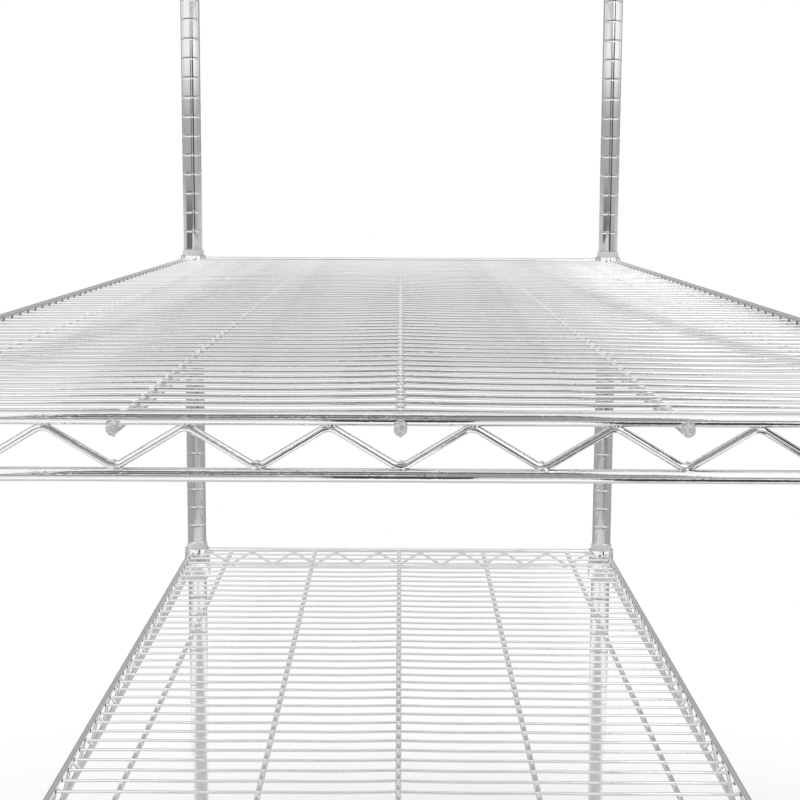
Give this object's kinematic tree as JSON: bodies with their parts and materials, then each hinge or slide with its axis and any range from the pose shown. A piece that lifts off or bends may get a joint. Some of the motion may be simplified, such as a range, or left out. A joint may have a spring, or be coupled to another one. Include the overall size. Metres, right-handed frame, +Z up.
{
  "type": "wire shelving unit",
  "caption": "Free-standing chrome wire shelving unit with grooved posts, split sleeves, trussed wire shelves that lift, and levelling feet.",
  "frame": {"origin": "on the floor under the middle of the unit", "axes": "+Z up, X along the long sides, Y along the short ends; the picture looks along -X"},
  "size_m": [1.5, 0.5998, 1.8],
  "materials": {
    "chrome_wire": "bright chrome plate over welded steel wire",
    "chrome_post": "bright chrome plate over grooved steel tube",
    "sleeve_plastic": "moulded grey plastic",
    "cap_plastic": "moulded dark grey plastic",
    "zinc_steel": "zinc-plated steel"
  },
  "bodies": {
    "uprights": {"post_front_left": "chrome_post", "post_cap_front_left": "cap_plastic", "post_front_right": "chrome_post", "post_cap_front_right": "cap_plastic", "post_back_left": "chrome_post", "post_cap_back_left": "cap_plastic", "post_back_right": "chrome_post", "post_cap_back_right": "cap_plastic", "foot_inserts": "zinc_steel", "split_sleeves_1": "sleeve_plastic", "split_sleeves_2": "sleeve_plastic", "split_sleeves_3": "sleeve_plastic", "split_sleeves_4": "sleeve_plastic", "split_sleeves_5": "sleeve_plastic"},
    "shelf_1": {"shelf_1_top_rails": "chrome_wire", "shelf_1_bottom_rails": "chrome_wire", "shelf_1_truss_wires": "chrome_wire", "shelf_1_stringers": "chrome_wire", "shelf_1_deck_wires": "chrome_wire", "shelf_1_corner_collars": "chrome_wire"},
    "shelf_2": {"shelf_2_top_rails": "chrome_wire", "shelf_2_bottom_rails": "chrome_wire", "shelf_2_truss_wires": "chrome_wire", "shelf_2_stringers": "chrome_wire", "shelf_2_deck_wires": "chrome_wire", "shelf_2_corner_collars": "chrome_wire"},
    "shelf_3": {"shelf_3_top_rails": "chrome_wire", "shelf_3_bottom_rails": "chrome_wire", "shelf_3_truss_wires": "chrome_wire", "shelf_3_stringers": "chrome_wire", "shelf_3_deck_wires": "chrome_wire", "shelf_3_corner_collars": "chrome_wire"},
    "shelf_4": {"shelf_4_top_rails": "chrome_wire", "shelf_4_bottom_rails": "chrome_wire", "shelf_4_truss_wires": "chrome_wire", "shelf_4_stringers": "chrome_wire", "shelf_4_deck_wires": "chrome_wire", "shelf_4_corner_collars": "chrome_wire"},
    "shelf_5": {"shelf_5_top_rails": "chrome_wire", "shelf_5_bottom_rails": "chrome_wire", "shelf_5_truss_wires": "chrome_wire", "shelf_5_stringers": "chrome_wire", "shelf_5_deck_wires": "chrome_wire", "shelf_5_corner_collars": "chrome_wire"},
    "foot_glide_front_left": {"foot_glide_front_left": "zinc_steel"},
    "foot_stud_front_left": {"foot_stud_front_left": "zinc_steel"},
    "foot_glide_front_right": {"foot_glide_front_right": "zinc_steel"},
    "foot_stud_front_right": {"foot_stud_front_right": "zinc_steel"},
    "foot_glide_back_left": {"foot_glide_back_left": "zinc_steel"},
    "foot_stud_back_left": {"foot_stud_back_left": "zinc_steel"},
    "foot_glide_back_right": {"foot_glide_back_right": "zinc_steel"},
    "foot_stud_back_right": {"foot_stud_back_right": "zinc_steel"}
  },
  "joints": [
    {"name": "foot_extend_front_left", "type": "slide", "parent": "uprights", "child": "foot_glide_front_left", "axis": [0, 0, -1], "range_m": [0, 0.019]},
    {"name": "foot_turn_front_left", "type": "hinge", "parent": "foot_glide_front_left", "child": "foot_stud_front_left", "pos_m": [-0.73207, -0.28207, 0.02], "axis": [0, 0, -1], "range_deg": [0, 4320]},
    {"name": "foot_extend_front_right", "type": "slide", "parent": "uprights", "child": "foot_glide_front_right", "axis": [0, 0, -1], "range_m": [0, 0.019]},
    {"name": "foot_turn_front_right", "type": "hinge", "parent": "foot_glide_front_right", "child": "foot_stud_front_right", "pos_m": [0.73207, -0.28207, 0.02], "axis": [0, 0, -1], "range_deg": [0, 4320]},
    {"name": "foot_extend_back_left", "type": "slide", "parent": "uprights", "child": "foot_glide_back_left", "axis": [0, 0, -1], "range_m": [0, 0.019]},
    {"name": "foot_turn_back_left", "type": "hinge", "parent": "foot_glide_back_left", "child": "foot_stud_back_left", "pos_m": [-0.73207, 0.28207, 0.02], "axis": [0, 0, -1], "range_deg": [0, 4320]},
    {"name": "foot_extend_back_right", "type": "slide", "parent": "uprights", "child": "foot_glide_back_right", "axis": [0, 0, -1], "range_m": [0, 0.019]},
    {"name": "foot_turn_back_right", "type": "hinge", "parent": "foot_glide_back_right", "child": "foot_stud_back_right", "pos_m": [0.73207, 0.28207, 0.02], "axis": [0, 0, -1], "range_deg": [0, 4320]},
    {"name": "shelf_1_lift", "type": "slide", "parent": "uprights", "child": "shelf_1", "axis": [0, 0, 1], "range_m": [0, 0.36]},
    {"name": "shelf_2_lift", "type": "slide", "parent": "uprights", "child": "shelf_2", "axis": [0, 0, 1], "range_m": [0, 0.36]},
    {"name": "shelf_3_lift", "type": "slide", "parent": "uprights", "child": "shelf_3", "axis": [0, 0, 1], "range_m": [0, 0.36]},
    {"name": "shelf_4_lift", "type": "slide", "parent": "uprights", "child": "shelf_4", "axis": [0, 0, 1], "range_m": [0, 0.36]},
    {"name": "shelf_5_lift", "type": "slide", "parent": "uprights", "child": "shelf_5", "axis": [0, 0, 1], "range_m": [0, 0.1]}
  ],
  "couplings": [
    {"joint": "foot_turn_front_left", "follows": "foot_extend_front_left", "rad_per_m": 3957.9},
    {"joint": "foot_turn_front_right", "follows": "foot_extend_front_right", "rad_per_m": 3957.9},
    {"joint": "foot_turn_back_left", "follows": "foot_extend_back_left", "rad_per_m": 3957.9},
    {"joint": "foot_turn_back_right", "follows": "foot_extend_back_right", "rad_per_m": 3957.9}
  ]
}
